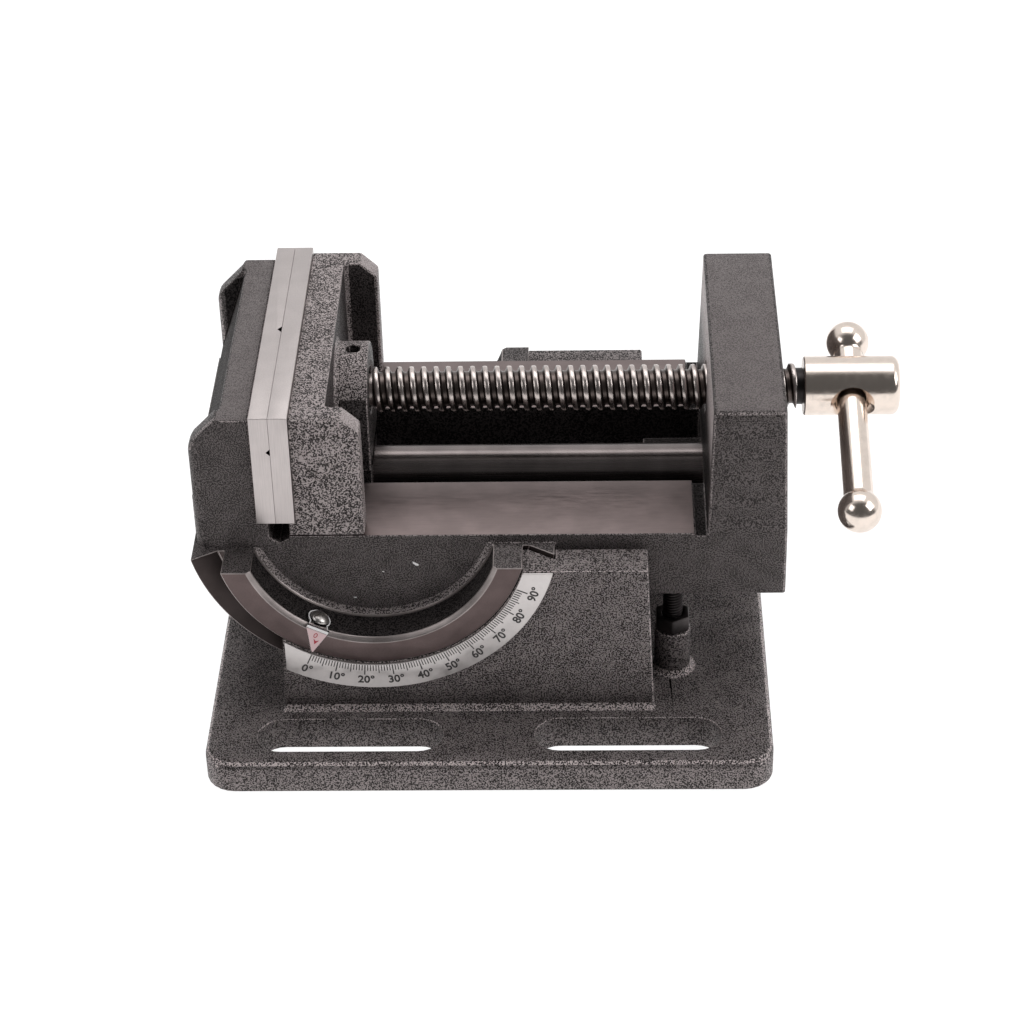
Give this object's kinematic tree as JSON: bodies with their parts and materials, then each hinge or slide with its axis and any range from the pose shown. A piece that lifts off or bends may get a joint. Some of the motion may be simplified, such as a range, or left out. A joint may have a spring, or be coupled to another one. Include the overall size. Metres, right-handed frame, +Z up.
{
  "type": "machine vise",
  "caption": "Tilting machine vise on a slotted base plate, with a cradle that swings from level to upright, ground jaw plates, a lead screw and a sliding tommy bar.",
  "frame": {"origin": "centre of the flat underside of the base plate", "axes": "+X along the lead screw from the fixed jaw towards the handle, +Y from the scale side to the far side, +Z up"},
  "size_m": [0.2131, 0.1766, 0.1084],
  "materials": {
    "hammered_paint": "dark grey hammered paint over cast iron",
    "ground_steel": "surface-ground bare steel",
    "nickel_plate": "polished nickel plate with a warm tint",
    "screw_steel": "oiled bright steel thread",
    "black_steel": "blackened fastener steel",
    "bright_steel": "zinc-plated fastener steel",
    "scale_aluminium": "satin aluminium strip with black graduations",
    "clear_plastic": "clear acrylic with a red arrow"
  },
  "bodies": {
    "base": {"base_casting": "hammered_paint", "scale_plate": "scale_aluminium", "stop_nut_front": "black_steel", "stop_nut_rear": "black_steel", "tilt_lock_washer": "bright_steel"},
    "stop_front": {"stop_screw_front": "black_steel"},
    "stop_rear": {"stop_screw_rear": "black_steel"},
    "tilt_lock": {"tilt_lock_bolt": "black_steel"},
    "body": {"vise_body": "hammered_paint", "fixed_jaw_plate": "ground_steel", "fixed_plate_screw_front": "black_steel", "fixed_plate_screw_rear": "black_steel", "guide_bar": "ground_steel", "guide_bar_set_screw": "black_steel", "pointer": "clear_plastic", "pointer_screw": "bright_steel"},
    "jaw": {"moving_jaw": "hammered_paint", "moving_jaw_plate": "ground_steel", "moving_plate_screw_front": "black_steel", "moving_plate_screw_rear": "black_steel", "screw_retaining_pin": "black_steel"},
    "screw": {"lead_screw": "screw_steel", "handle_hub": "nickel_plate"},
    "handle": {"handle_bar": "nickel_plate", "handle_ball_front": "nickel_plate", "handle_ball_rear": "nickel_plate"}
  },
  "joints": [
    {"name": "tilt", "type": "hinge", "parent": "base", "child": "body", "pos_m": [-0.0339, 0, 0.07535], "axis": [0, -1, 0], "range_deg": [0, 90]},
    {"name": "jaw_slide", "type": "slide", "parent": "body", "child": "jaw", "axis": [1, 0, 0], "range_m": [0, 0.0825]},
    {"name": "screw_turn", "type": "hinge", "parent": "jaw", "child": "screw", "pos_m": [0.05, 0, 0.0865], "axis": [1, 0, 0], "range_deg": [0, 7930]},
    {"name": "handle_slide", "type": "slide", "parent": "screw", "child": "handle", "axis": [0, 0.9478, 0.319], "range_m": [0, 0.0308]},
    {"name": "stop_front_adjust", "type": "slide", "parent": "base", "child": "stop_front", "axis": [0, 0, -1], "range_m": [0, 0.005]},
    {"name": "stop_rear_adjust", "type": "slide", "parent": "base", "child": "stop_rear", "axis": [0, 0, -1], "range_m": [0, 0.005]},
    {"name": "tilt_lock_turn", "type": "hinge", "parent": "base", "child": "tilt_lock", "pos_m": [0.03, 0.06, 0.0315], "axis": [0, 1, 0], "range_deg": [0, 180]}
  ],
  "couplings": [
    {"joint": "screw_turn", "follows": "jaw_slide", "rad_per_m": 1675.5}
  ]
}
